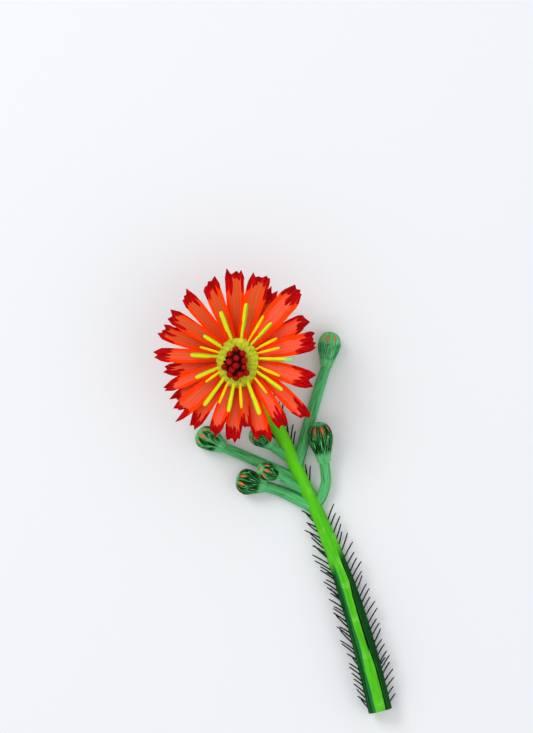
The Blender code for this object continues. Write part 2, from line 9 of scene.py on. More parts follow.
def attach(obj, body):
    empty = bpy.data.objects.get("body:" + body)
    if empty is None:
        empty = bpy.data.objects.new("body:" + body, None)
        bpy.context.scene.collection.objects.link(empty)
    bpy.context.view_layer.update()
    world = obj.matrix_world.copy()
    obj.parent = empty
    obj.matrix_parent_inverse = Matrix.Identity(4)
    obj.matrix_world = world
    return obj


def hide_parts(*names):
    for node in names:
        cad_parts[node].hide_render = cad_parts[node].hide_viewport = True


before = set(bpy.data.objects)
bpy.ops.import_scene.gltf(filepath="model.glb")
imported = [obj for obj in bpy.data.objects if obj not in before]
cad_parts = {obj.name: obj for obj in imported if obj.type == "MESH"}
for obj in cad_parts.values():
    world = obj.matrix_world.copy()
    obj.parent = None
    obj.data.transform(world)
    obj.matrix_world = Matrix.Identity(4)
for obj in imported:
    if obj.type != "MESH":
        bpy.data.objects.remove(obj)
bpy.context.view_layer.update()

# A cut stem of fox and cubs: one open flower that faces up, and six buds on side stalks.
# Everything is modelled in millimetres round the open flower's upright axis, with the surface at z = 0.
# settle() turns a finished piece into metres and puts it in the frame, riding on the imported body.

flowerAxis = Vector((-5.65, 20.1, 0))
goldenAngle = radians(137.508)


# Small tools

def only(*pieces):
    # just these pieces selected
    bpy.ops.object.select_all(action="DESELECT")
    for piece in pieces:
        piece.select_set(True)
    if pieces:
        bpy.context.view_layer.objects.active = pieces[0]


def shape(piece):
    # edit mode, with every vertex selected
    only(piece)
    bpy.ops.object.mode_set(mode="EDIT")
    bpy.ops.mesh.select_mode(type="VERT")
    bpy.ops.mesh.select_all(action="SELECT")


def shaped():
    bpy.ops.object.mode_set(mode="OBJECT")
    return bpy.context.object


def pick(test, kind="verts"):
    # selects what passes the test
    bpy.ops.mesh.select_all(action="DESELECT")
    mesh = bpy.context.object.data
    cage = bmesh.from_edit_mesh(mesh)
    for part in getattr(cage, kind):
        if test(part):
            part.select_set(True)
    cage.select_flush_mode()
    bmesh.update_edit_mesh(mesh)


def move(x=0, y=0, z=0):
    bpy.ops.transform.translate(value=(x, y, z))


def grow(x, y, z, about=(0, 0, 0)):
    bpy.ops.transform.resize(value=(x, y, z), center_override=about)


def added():
    # the piece just made, with its place taken into its mesh
    bpy.ops.object.transform_apply()
    return bpy.context.object


def modify(piece, kind, **settings):
    only(piece)
    modifier = piece.modifiers.new(kind.title(), kind)
    for name, value in settings.items():
        setattr(modifier, name, value)
    bpy.ops.object.modifier_apply(modifier=modifier.name)


def smooth(piece, levels):
    modify(piece, "SUBSURF", levels=levels, render_levels=levels)


def outward():
    bpy.ops.mesh.select_all(action="SELECT")
    bpy.ops.mesh.remove_doubles(threshold=0.001)
    bpy.ops.mesh.normals_make_consistent(inside=False)


def twin(piece, matrix=Matrix()):
    # a copy with its own mesh
    made = piece.copy()
    made.data = piece.data.copy()
    made.matrix_world = matrix
    bpy.context.collection.objects.link(made)
    return made


def joined(name, parts, shift=(0, 0, 0)):
    # one piece made of the parts, then moved by the shift
    only(*parts)
    if len(parts) > 1:
        bpy.ops.object.join()
    whole = added()
    whole.location = shift
    whole.name = whole.data.name = name
    return added()


def discard(piece):
    bpy.data.objects.remove(piece)


def dress(piece, *finishes):
    piece.data.materials.clear()
    for finish in finishes:
        piece.data.materials.append(finish)
    return piece


def settle(piece, slot, *nodes, smoothAngle=50):
    only(piece)
    piece.location = flowerAxis * 0.001
    piece.scale = (0.001,) * 3
    bpy.ops.object.transform_apply()
    bpy.ops.object.shade_smooth_by_angle(angle=radians(smoothAngle))
    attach(piece, "root")
    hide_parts(*nodes)
    print("made", piece.name, len(piece.data.polygons), "faces")


def spun(axis, angle):
    return Matrix.Rotation(angle, 4, axis)


def sized(x, y, z):
    return Matrix.Diagonal((x, y, z, 1))


def between(table, x):
    # straight lines between the pairs of a table
    for (x0, y0), (x1, y1) in zip(table, table[1:]):
        if x <= x1:
            return y0 + (y1 - y0) * (x - x0) / (x1 - x0)
    return table[-1][1]


def milestones(places):
    # how far along their line the places are
    far = [0]
    for a, b in zip(places, places[1:]):
        far.append(far[-1] + (b - a).length)
    return far


def smoothLine(points, count):
    # evenly spaced points on a curve through the given ones
    knots = [Vector(p) for p in points]
    knots = [2 * knots[0] - knots[1]] + knots + [2 * knots[-1] - knots[-2]]
    fine, steps = [], 20
    for a, b, c, d in zip(knots, knots[1:], knots[2:], knots[3:]):
        for i in range(steps):
            t = i / steps
            fine.append(0.5 * (2 * b + (c - a) * t + (2 * a - 5 * b + 4 * c - d) * t**2
                               + (3 * b - a - 3 * c + d) * t**3))
    fine.append(knots[-2])
    far = milestones(fine)
    line, k = [], 0
    for i in range(count):
        want = far[-1] * i / (count - 1)
        while k < len(fine) - 2 and far[k + 1] < want:
            k += 1
        line.append(fine[k].lerp(fine[k + 1], (want - far[k]) / (far[k + 1] - far[k])))
    return line


# Ways to start a piece

def strap(cross, rows):
    # A sheet along +Y. cross has the height of each column; a row is (along, half width, height, sideways).
    # The grid waits from y = -3 to -1, and its rows are drawn out of it one by one.
    only()
    bpy.ops.mesh.primitive_grid_add(x_subdivisions=len(cross) - 1, y_subdivisions=len(rows) - 1, size=2,
                                    location=(0, -2, 0))
    shape(added())
    for i, high in enumerate(cross):
        at = 2 * i / (len(cross) - 1) - 1
        if high:
            pick(lambda v: abs(v.co.x - at) < 0.01)
            move(z=high)
    for i, (along, half, high, aside) in enumerate(rows):
        at = 2 * i / (len(rows) - 1) - 3
        pick(lambda v: abs(v.co.y - at) < 0.01)
        grow(half, 1, 1, (0, at, 0))
        move(aside, along - at, high)
    return shaped()


def rod(sides, stations):
    # A closed rod along +Y, extruded ring by ring. A station is (along, radius, height).
    only()
    along, radius, high = stations[0]
    bpy.ops.mesh.primitive_circle_add(vertices=sides, radius=radius, fill_type="NGON",
                                      location=(0, along, high), rotation=(radians(90), 0, 0))
    shape(added())
    for (a, r, h), (b, s, k) in zip(stations, stations[1:]):
        bpy.ops.mesh.extrude_region_move(TRANSFORM_OT_translate={"value": (0, b - a, k - h)})
        grow(s / r, 1, s / r, (0, b, k))
    outward()
    return shaped()


def turned(outline, steps):
    # A body of revolution: its outline of (radius, height) is drawn corner by corner, then spun.
    only()
    radius, high = outline[0]
    bpy.ops.mesh.primitive_plane_add(size=0.1, location=(radius, 0, high))
    shape(added())
    bpy.ops.mesh.merge(type="CENTER")
    for (a, h), (b, k) in zip(outline, outline[1:]):
        bpy.ops.mesh.extrude_region_move(TRANSFORM_OT_translate={"value": (b - a, 0, k - h)})
    bpy.ops.mesh.select_all(action="SELECT")
    bpy.ops.mesh.spin(steps=steps, angle=2 * pi, center=(0, 0, 0), axis=(0, 0, 1))
    outward()
    return shaped()


def tube(line, sides):
    # A round tube through points of (x, y, z, radius).
    only()
    bpy.ops.curve.primitive_bezier_curve_add()
    drawn = bpy.context.object.data
    drawn.splines.clear()
    spline = drawn.splines.new("POLY")
    spline.points.add(len(line) - 1)
    for point, (x, y, z, radius) in zip(spline.points, line):
        point.co = (x, y, z, 1)
        point.radius = radius
    drawn.bevel_depth = 1
    drawn.bevel_resolution = sides // 2 - 2
    drawn.use_fill_caps = True
    bpy.ops.object.convert(target="MESH")
    shape(added())
    outward()
    return shaped()


# Marks that the finishes read: a vector at each vertex

def mark(piece, rule, name="place"):
    layer = piece.data.attributes.new(name, "FLOAT_VECTOR", "POINT")
    for v, spot in zip(piece.data.vertices, layer.data):
        spot.vector = rule(v)


def retone(piece, tone, kept=0):
    # kept is the share of the old tone to add
    for spot in piece.data.attributes["place"].data:
        spot.vector.z = tone + kept * spot.vector.z


def markStrap(piece, rows, tone=0):
    # across the strap (-1 to 1), millimetres from its tip, and its own tone
    sheet = piece.data.uv_layers.active.data
    where = {loop.vertex_index: tuple(sheet[loop.index].uv) for loop in piece.data.loops}
    alongs = [(i / (len(rows) - 1), row[0]) for i, row in enumerate(rows)]

    def rule(v):
        aside, share = where[v.index]
        return 2 * aside - 1, rows[-1][0] - between(alongs, min(share, 1)), tone

    mark(piece, rule)


def markTube(piece, line):
    # to the right and up round the tube (-1 to 1), and millimetres along it
    places = [Vector(p[:3]) for p in line]
    far = milestones(places)
    frames, side = [], None
    for before, after in zip(places[:1] + places, places[1:] + places[-1:]):
        ahead = (after - before).normalized()
        across = ahead.cross(Vector((0, 0, 1)))
        side = across.normalized() if across.length > 0.3 or side is None else side
        frames.append((ahead, side, side.cross(ahead)))

    def rule(v):
        i = min(range(len(places)), key=lambda k: (places[k] - v.co).length_squared)
        out = v.co - places[i]
        ahead, right, up = (out.dot(way) for way in frames[i])
        wide = max(hypot(right, up), 0.001)
        return right / wide, up / wide, far[i] + ahead

    mark(piece, rule)


# Finishes

class Wire:
    # a node's output; sums with it add Math nodes
    def __init__(self, paint, socket):
        self.paint = paint
        self.socket = socket

    def __add__(self, other):
        return self.paint.maths("ADD", self, other)

    def __sub__(self, other):
        return self.paint.maths("SUBTRACT", self, other)

    def __rsub__(self, other):
        return self.paint.maths("SUBTRACT", other, self)

    def __mul__(self, other):
        return self.paint.maths("MULTIPLY", self, other)

    def __abs__(self):
        return self.paint.maths("ABSOLUTE", self)

    __radd__ = __add__
    __rmul__ = __mul__


class Paint:
    # a finish being wired up; more holds further shader values that don't vary
    def __init__(self, name, roughness, specular, colour, more=None):
        self.finish = bpy.data.materials.new(name)
        self.finish.use_nodes = True
        self.tree = self.finish.node_tree
        self.shader = self.tree.nodes["Principled BSDF"]
        self.colour = colour
        same = {"Roughness": roughness, "Specular IOR Level": specular}
        for socket, value in (same | (more or {})).items():
            self.shader.inputs[socket].default_value = value

    def node(self, kind, settings=None, sockets=None, output=0):
        made = self.tree.nodes.new("ShaderNode" + kind)
        for name, value in (settings or {}).items():
            setattr(made, name, value)
        for name, value in (sockets or {}).items():
            if isinstance(value, Wire):
                self.tree.links.new(value.socket, made.inputs[name])
            else:
                made.inputs[name].default_value = value
        return Wire(self, made.outputs[output])

    def maths(self, operation, *values):
        return self.node("Math", {"operation": operation}, dict(enumerate(values)))

    def marks(self, name="place"):
        place = self.node("Attribute", {"attribute_name": name}, output="Vector")
        split = self.node("SeparateXYZ", sockets={0: place}).socket.node
        return [Wire(self, socket) for socket in split.outputs]

    def millimetres(self):
        place = self.node("TexCoord", output="Object")
        return self.node("VectorMath", {"operation": "SCALE"}, {0: place, "Scale": 1000})

    def noise(self, place, scale, detail=3, roughness=0.55):
        if isinstance(place, tuple):
            place = self.node("CombineXYZ", sockets=dict(enumerate(place)))
        return self.node("TexNoise", sockets={"Vector": place, "Scale": scale, "Detail": detail,
                                              "Roughness": roughness})

    def mask(self, value, low, high):
        # 0 at low, 1 at high, eased; low may be the greater
        return self.node("MapRange", {"interpolation_type": "SMOOTHSTEP"},
                         {"Value": value, "From Min": low, "From Max": high})

    def blend(self, mask, first, second, way="MIX"):
        return self.node("Mix", {"data_type": "RGBA", "blend_type": way}, {0: mask, 6: first, 7: second}, 2)

    def lay(self, colour, value, low, high, share=1):
        # colour over what is there, by the mask and the share
        self.colour = self.blend(self.mask(value, low, high) * share, self.colour, colour)

    def done(self, height=None, depth=0, strength=1):
        # depth is the bump's, in millimetres
        self.tree.links.new(self.colour.socket, self.shader.inputs["Base Color"])
        if height is not None:
            bump = self.node("Bump", sockets={"Strength": strength, "Distance": depth * 0.001,
                                              "Height": height})
            self.tree.links.new(bump.socket, self.shader.inputs["Normal"])
        return self.finish


def rgb(*values):
    # from the 0 to 255 of a picture
    return (*Color([value / 255 for value in values]).from_srgb_to_scene_linear(), 1)


petalColours = {
    "margin": rgb(255, 60, 0),
    "middle": rgb(208, 82, 38),
    "salmon": rgb(246, 90, 62),
    "thread": rgb(176, 98, 52),
    "tip": rgb(190, 0, 2),
    "tipDark": rgb(142, 0, 2),
    "middleHalf": 0.56,    # half the pale stripe's width, as a share of the petal's
    "tipLength": 2.2,
    "bands": 2.3,
    "veins": 5,
}


def petalFinish():
    # tone is under 0.4 on petals whose stripe is brown, and over 0.6 where it is salmon
    colours = petalColours
    paint = Paint("petalOrange", 0.62, 0.05, colours["margin"])
    across, toTip, tone = paint.marks()
    edge = abs(across)
    streaks = paint.noise((across * 2.2, toTip * 0.3, tone * 30), 2, 3, 0.45)
    fine = paint.noise((across * 9, toTip * 0.5, tone * 17), 2)
    own = paint.noise((tone * 40, 0, 0), 3, 0)    # one value for each petal
    sway = streaks - 0.5

    pale = paint.blend(paint.mask(tone, 0.38, 0.62), colours["middle"], colours["salmon"])
    thread = paint.mask(fine, 0.56, 0.7) * paint.mask(toTip + sway * 4, 2, 5)
    pale = paint.blend(thread * 0.6, pale, colours["thread"])
    fromLine = edge + sway * 0.7 + paint.mask(toTip, 4.5, 9.5) * 0.12
    share = paint.mask(toTip + sway * 3, 9.8, 7.8) * (0.84 + 0.16 * fine)
    paint.lay(pale, fromLine, colours["middleHalf"] + 0.07, colours["middleHalf"] - 0.07, share)

    # the red end is in blunt bands side by side, each with its own length
    place = across * colours["bands"] + sway * 0.5 + own * 3
    band = paint.maths("FLOOR", place)
    inBand = place - band - 0.5
    length = paint.noise((band * 0.77 + 0.3, tone * 23, 0.7), 2, 0)
    reach = toTip - (length - 0.5) * 4.6 - edge * 0.7 + inBand * inBand * 2.4 + (fine - 0.5) * 0.9
    reach = reach + sway * 1.6 + (across * 4 + 1.6) * (own - 0.5)
    dark = paint.mask(streaks + (fine - 0.5) * 0.9 + toTip * 0.05, 0.6, 0.5)
    dark = paint.blend(dark, colours["tip"], colours["tipDark"])
    paint.lay(dark, reach, colours["tipLength"] + 0.22, colours["tipLength"] - 0.1)

    vein = paint.mask(paint.maths("SINE", across * (colours["veins"] * pi) + fine * 2.5), 0.55, 1)
    paint.colour = paint.blend(vein * 0.22, paint.colour, rgb(220, 160, 140), "MULTIPLY")
    return paint.done(vein * -0.6 + fine * 0.5, 0.05, 0.8)


def yellowFinish():
    paint = Paint("floretYellow", 0.55, 0.15, rgb(174, 186, 34))
    across, toTip, tone = paint.marks()
    streaks = paint.noise((across * 3, toTip * 0.7, tone * 30), 2)
    paint.lay(rgb(200, 196, 32), streaks, 0.36, 0.62)
    paint.lay(rgb(146, 166, 42), abs(across) + (streaks - 0.5) * 0.6, 0.6, 1.05, 0.7)
    paint.lay(rgb(222, 214, 30), tone, 0.62, 0.95, 0.6)
    return paint.done(streaks, 0.06, 0.7)


def styleFinish():
    # tone is over 0.5 on the broad, greener styles, and over 0.97 on the one with a green end
    paint = Paint("styleYellow", 0.5, 0.08, rgb(250, 204, 0))
    across, toTip, tone = paint.marks()
    grain = paint.noise((across * 1.2, toTip * 0.5, tone * 30), 2.2, 4, 0.7)
    sway = (grain - 0.5) * 1.2
    paint.lay(rgb(208, 216, 16), tone, 0.49, 0.51)
    paint.lay(rgb(240, 236, 24), grain, 0.54, 0.7)
    paint.lay(rgb(146, 168, 36), abs(across + 0.3) + sway, 0.56, 0.84, paint.mask(tone, 0.49, 0.51) * 0.9)
    paint.lay(rgb(150, 202, 110), toTip + sway, 1.35, 0.95, paint.mask(tone, 0.96, 0.98))
    paint.lay(rgb(212, 196, 18), toTip, 4.4, 6.8, 0.4)
    return paint.done(grain, 0.05, 0.8)


def beadFinish():
    paint = Paint("floretMaroon", 0.42, 0.05, rgb(126, 0, 4), {"Coat Weight": 0.1, "Coat Roughness": 0.1})
    up = paint.marks()[2]
    grain = paint.noise(paint.millimetres(), 2.6, 4, 0.65)
    paint.lay(rgb(170, 2, 8), grain, 0.35, 0.65)
    # painted shade: each bead darkens to near black on its lower side
    paint.lay(rgb(18, 0, 2), up + (grain - 0.5) * 0.4, 0.22, -0.25)
    return paint.done(grain, 0.02, 0.5)


def grainyFinish(name, roughness, specular, scale, first, second, low, depth):
    paint = Paint(name, roughness, specular, first)
    grain = paint.noise(paint.millimetres(), scale, 4, 0.7)
    paint.lay(second, grain, low, 0.7)
    return paint.done(grain, depth)


stemColours = {
    "green": rgb(84, 188, 32),
    "pale": rgb(112, 202, 64),
    "deep": rgb(66, 170, 22),
    "paintedLightNearFlower": rgb(108, 224, 30),    # painted light near the flower: a brighter green against the flower's shadow
    "stripe": rgb(0, 56, 12),
    "stripeLight": rgb(10, 92, 34),
    "stripeEdges": (rgb(30, 104, 62), rgb(0, 22, 4)),
    "stripeStart": (22.6, 24.6),    # millimetres from the cut end: left, right
}


def stemFinish():
    colours = stemColours
    paint = Paint("stemGreen", 0.55, 0.06, colours["green"])
    right, up, along = paint.marks()
    streaks = paint.noise((right * 2.2, up * 2.2, along * 0.12), 2, 5, 0.6)
    blotches = paint.noise((right * 0.8, up * 0.8, along * 0.5), 0.8)
    ridges = paint.noise((right * 5, up * 5, along * 0.03), 2, 2)
    sway = streaks - 0.5
    paint.lay(colours["deep"], streaks, 0.42, 0.66)
    paint.lay(colours["pale"], blotches, 0.52, 0.72, 0.8)
    # painted light: the stem turns brighter towards the flower, where the flower's shadow falls
    paint.lay(colours["paintedLightNearFlower"], along, 32, 40, 0.95 - streaks * 0.5)
    bulge = paint.mask(along, 4, 13) * paint.mask(along, 20.5, 16.5)
    sides = (right * -1 + sway * 0.3, right + sway * 0.3 + bulge * 0.22 - 0.04)
    stripes = []
    for side, start, edge in zip(sides, colours["stripeStart"], colours["stripeEdges"]):
        room = paint.mask(along + sway * 5, start + 1, start - 1)
        line = paint.mask(abs(side - 0.5), 0.13, 0.05) * room
        paint.colour = paint.blend(line, paint.colour, edge)
        stripes.append(paint.mask(side, 0.44, 0.52) * room * (1 - line))
    dark = paint.blend(paint.mask(ridges, 0.42, 0.66), colours["stripe"], colours["stripeLight"])
    paint.colour = paint.blend(paint.maths("MAXIMUM", *stripes), paint.colour, dark)
    return paint.done(ridges * 0.8 + streaks * 0.3, 0.12, 0.8)


def bristleFinish():
    paint = Paint("bristleBlack", 0.5, 0.25, rgb(10, 10, 12))
    across, toTip, tone = paint.marks()
    paint.lay(rgb(38, 30, 26), toTip, 1.3, 0)
    paint.lay(rgb(34, 40, 30), tone, 0.6, 1, 0.5)
    return paint.done()


def stalkFinish():
    paint = Paint("stalkGreen", 0.55, 0.08, rgb(66, 160, 90))
    right, up, along = paint.marks()
    streaks = paint.noise((right * 1.8, up * 1.8, along * 0.14), 2, 5, 0.62)
    ridges = paint.noise((right * 5, up * 5, along * 0.05), 2, 2)
    paint.lay(rgb(92, 184, 114), streaks, 0.36, 0.62)
    paint.lay(rgb(126, 206, 134), ridges, 0.58, 0.74, 0.6)
    paint.lay(rgb(34, 116, 68), streaks, 0.47, 0.36, 0.75)
    return paint.done(ridges + streaks * 0.4, 0.1, 0.8)


def bractFinish(name, light, mid, dark, darkest, blue):
    # tone runs from 0, pale with bluish strokes low down, to 1, nearly all dark
    paint = Paint(name, 0.65, 0.03, mid)
    across, toTip, tone = paint.marks()
    high = paint.marks("budPlace")[2]
    edge = abs(across)
    streaks = paint.noise((across * 3, toTip * 0.28, tone * 40), 2.2, 5, 0.65)
    fine = paint.noise((across * 3.6, toTip * 0.26, tone * 13), 2.4, 3, 0.5)
    hatch = paint.noise((across * 2.4, toTip * 0.5, tone * 9), 2, 2, 0.6)
    pale = paint.mask(tone, 0.35, 0.2)
    dusky = paint.mask(tone, 0.15, 0.5)
    lens = paint.mask(edge + (streaks - 0.5) * 1.5 - tone, 0.4, 0.16) * paint.mask(toTip, 0, 0.4)
    lens = lens * paint.mask(high + (fine - 0.5) * 2.4, 0.9, 1.5) * (1 - pale * 0.55)
    lens = lens * paint.mask(high + (fine - 0.5) * 1.2 - tone * 2.4, 3.5, 2.7)
    paint.lay(light, fine, 0.38, 0.6)
    paint.lay(paint.blend(dusky, blue, dark), fine, 0.64, 0.54, lens)
    paint.lay(blue, hatch, 0.49, 0.55, paint.mask(high, 3.7, 3.2) * paint.mask(high, 0.8, 1.5) * pale)
    middle = edge + (streaks - 0.5) * 0.9 - tone * 0.7
    paint.lay(darkest, middle, 0.26, 0, paint.mask(fine, 0.6, 0.5) * lens * dusky)
    return paint.done(fine * 0.5 + streaks * 0.8, 0.1, 0.8)


def budPetalFinish():
    paint = Paint("budSalmon", 0.55, 0.1, rgb(236, 92, 44))
    across, toTip, tone = paint.marks()
    streaks = paint.noise((across * 4, toTip * 0.6, tone * 20), 2, 4)
    paint.lay(rgb(226, 122, 78), streaks, 0.35, 0.65)
    paint.lay(rgb(206, 50, 22), abs(across) + (streaks - 0.5) * 0.5, 0.6, 1)
    return paint.done(streaks, 0.06, 0.8)


# A petal has the angle of its tip, its reach, its width and the corners of its toothed end: how far each is
# to the left of the petal's line, and short of the reach. Every other petal is in the upper layer.
petalMake = {
    "root": 1.9,
    "height": 9.78,
    "layerStep": 0.85,
    "thickness": 0.2,
    "arch": ((0, 0), (4.2, 0), (6.5, 0.6), (8.5, 0.85), (10, 0.8), (14, 0.4)),
    "rows": (0, 0.1, 0.22, 0.36, 0.5, 0.64, 0.78, 0.9, 1),
    "widths": ((0, 0.46), (0.22, 0.7), (0.46, 0.92), (0.7, 1), (1, 1)),
    "tipRoom": 0.5,    # between the deepest notch and the last full row
    "creases": (0.55, 0.35),    # teeth, notches
    "edgeLift": 0.16,
    "rib": 0.05,
    "sweeps": {304: -6, 319: -9},    # degrees that petals at these angles curve
    "tones": ((60, 0.62, 0.37), (170, 0, 0.37), (295, 0.47, 0.09), (360, 0.62, 0.37)),    # up to an angle
    "tubes": ((0, 8.8), (2, 8.8), (2.2, 9.2), (2.3, 9.8), (2.3, 10.6), (2.25, 11.1), (1.9, 11.3), (0, 11.3)),
    "tubeCount": 46,    # the florets' tubes, packed round the middle
    "petals": (
        (13, 11.9, 3, (-1.4, 1.3), (-1.1, 0.3), (-0.75, 0.7), (-0.4, 0.2), (-0.05, 0.7), (0.3, 0.35),
         (0.65, 0.6), (1.1, 0), (1.5, 0.6)),
        (30, 11.9, 2.6, (-1.25, 2.2), (-1.1, 1.5), (-0.95, 1.3), (-0.65, 0), (0.2, 0.4), (0.8, 0.45),
         (1.15, 1.2)),
        (49, 13.8, 3.4, (-1.3, 1.7), (-0.9, 0.5), (-0.6, 0.6), (-0.3, 0.1), (0.2, 0.5), (0.8, 0), (1.4, 1.5)),
        (63, 11.8, 2, (-0.8, 1.1), (-0.65, 0.2), (0, 1.2), (0.55, 0), (0.85, 1.1)),
        (75, 12.9, 3.2, (-1.6, 0.9), (-1.4, 0.2), (-1.15, 0.35), (-0.85, 0), (-0.3, 0.5), (0.3, 0.4),
         (0.7, 0.7), (1.2, 0), (1.5, 1.5)),
        (93, 13.5, 2.8, (-1.5, 1.7), (-1.1, 0.4), (-0.75, 1), (-0.4, 0.5), (0.5, 1.1), (1.1, 0), (1.4, 1.6)),
        (111, 12.7, 2.5, (-1.3, 1.3), (-1.1, 0), (-0.3, 0.6), (0.1, 0.4), (0.5, 1), (0.9, 1), (1.3, 1.6)),
        (130, 13, 2.3, (-1.1, 1.7), (-0.7, 0), (-0.1, 0.8), (0.3, 0.65), (0.55, 1.1), (0.9, 1), (1.15, 2.2)),
        (148, 12.5, 2.3, (-1.1, 1.4), (-0.7, 0), (0, 0.9), (0.75, 0.4), (1.1, 1.5)),
        (161, 12.7, 2.4, (-1.25, 1.4), (-1.1, 0.5), (-0.5, 1.1), (-0.1, 0.5), (0.15, 0.8), (0.45, 0),
         (1.1, 1)),
        (178, 12.8, 2.2, (-1, 1.2), (-0.4, 0), (0, 0.8), (0.4, 0.2), (0.85, 1.3)),
        (190, 11.5, 2, (-0.9, 1.2), (-0.75, 0.4), (-0.2, 0.75), (0.1, 0), (0.65, 1)),
        (202, 12.1, 1.9, (-0.7, 1.6), (-0.15, 0), (0.15, 0.5), (0.4, 0.05), (0.75, 1.2)),
        (212, 12.1, 1.6, (-0.65, 1.3), (-0.25, 0), (0.2, 1.1), (0.5, 1), (0.8, 1.9)),
        (222, 13.5, 2.9, (-1.2, 2.5), (-1, 1.2), (-0.5, 1.75), (-0.2, 1.65), (0.3, 2.7), (0.75, 0),
         (1.15, 1.2)),
        (236, 12.6, 2.2, (-0.7, 1.3), (-0.4, 0.1), (0.05, 0.6), (0.6, 0), (0.95, 1.4)),
        (252, 12.4, 2.1, (-0.95, 1.4), (-0.75, 0.8), (-0.2, 0.8), (0.3, 0), (0.55, 0.8), (0.8, 0.9),
         (1, 1.8)),
        (266, 12.7, 2.5, (-1.15, 1.3), (-0.9, 0.3), (-0.1, 0.8), (0.3, 0), (0.7, 0.8), (1, 0.6), (1.2, 2.6)),
        (277, 10.4, 1.5, (-0.75, 0.5), (-0.35, 0), (0, 0.15), (0.35, 0), (0.7, 0.4)),
        (287, 13.5, 2.8, (-1.35, 2.1), (-1, 0.9), (-0.6, 1.6), (-0.2, 1.4), (0.25, 1.6), (0.8, 0), (1.4, 1)),
        (304, 12.4, 2.2, (-1.1, 1.8), (-0.95, 0.2), (-0.35, 0.6), (0.3, 0), (0.95, 0.7)),
        (319, 13.9, 2.3, (-0.9, 2.3), (-0.7, 1), (-0.2, 0.9), (0.3, 0), (0.95, 0.6)),
        (342, 11.9, 3, (-1.3, 1.1), (-0.7, 0), (0, 1.1), (1.1, 0.1), (1.45, 1.3)),
    ),
}


def onePetal(number, angle, reach, width, *corners):
    make = petalMake
    chance = random.Random(number * 7 + 3)
    droop = chance.uniform(-0.25, 0.2)
    shoulder = reach - max(short for left, short in corners) - make["tipRoom"]
    rows = []
    for share in make["rows"]:
        along = make["root"] + share * (shoulder - make["root"])
        out = (along - make["root"]) / (reach - make["root"])
        half = width / 2 * between(make["widths"], out) * chance.uniform(0.97, 1.03)
        turn = radians(make["sweeps"].get(angle, 0)) * max(0, 1 - out) ** 1.5
        rows.append((along, half, between(make["arch"], along) + droop * out**3, along * sin(turn)))
    rows.append((reach, width / 2, between(make["arch"], reach) + droop, 0))
    last = len(corners) - 1
    cross = []
    for i in range(last + 1):
        edge = abs(2 * i / last - 1)
        cross.append(make["edgeLift"] * edge**2 + (make["rib"] if i % 2 else -make["rib"]) * (edge < 0.9))
    petal = strap(cross, rows)
    ends = sorted(((v.co.x, v.index) for v in petal.data.vertices if v.co.y > reach - 0.02), reverse=True)

    shape(petal)
    for i, ((left, short), (at, end)) in enumerate(zip(corners, ends)):
        pick(lambda v: v.index == end)
        bpy.ops.transform.vert_crease(value=make["creases"][(i + 1) % 2])
        move(-left - at, -short, chance.uniform(-0.08, 0.08) * (i % 2))
    shaped()
    smooth(petal, 2)
    low, room = next((low, room) for upTo, low, room in make["tones"] if angle < upTo)
    markStrap(petal, rows, low + room * chance.random())
    modify(petal, "SOLIDIFY", thickness=make["thickness"], offset=0)
    petal.rotation_euler = (0, radians(chance.uniform(-5, 5)), radians(angle - 90))
    petal.location.z = make["height"] + make["layerStep"] * (1 - number % 2)
    return petal


def petalRing():
    make = petalMake
    petals = [onePetal(i, *petal) for i, petal in enumerate(make["petals"])]
    core = turned(make["tubes"], make["tubeCount"])
    step = radians(360 / make["tubeCount"])
    shape(core)
    pick(lambda v: round(atan2(v.co.y, v.co.x) / step) % 2 and v.co.xy.length > 1)
    grow(0.93, 0.93, 1)
    shaped()
    smooth(core, 1)
    mark(core, lambda v: (1, 9, 0.3))
    settle(dress(joined("petals_open", petals + [core]), petalFinish()), "petals", "petals")


petalRing()


# The yellow ring: tiers of short blunt florets, then the long styles that lie over the petals.
ringMake = {
    "middle": (-0.15, -0.71),    # the ring is an oval, set off the axis
    "half": (3.35, 3.95),
    "tiers": (    # how many, share of the oval's reach, root, height at the root, rise, width
        (22, 1, 1.5, 11.5, 0.06, 1.05),
        (22, 0.97, 1.4, 12.12, 0.05, 1.02),
        (20, 0.84, 1.1, 12.3, 0.05, 0.95),
    ),
    "tongue": ((0, 0.3, 0, 0), (0.6, 0.36, 0.02, 0), (1.2, 0.46, 0, 0), (1.7, 0.5, -0.05, 0),
               (2.15, 0.44, -0.14, 0)),
    "ripple": (0.1, 0.02, -0.02, 0.02, -0.02, 0.02, 0.1),
    "notches": (-0.44, -0.147, 0.147, 0.44),    # beside three teeth
    "notch": 0.34,
    "thickness": 0.14,
    "core": ((0, 11.2), (2.3, 11.2), (2.5, 11.4), (2.45, 11.8), (2.35, 12.1), (2, 12.36), (0, 12.5)),
}


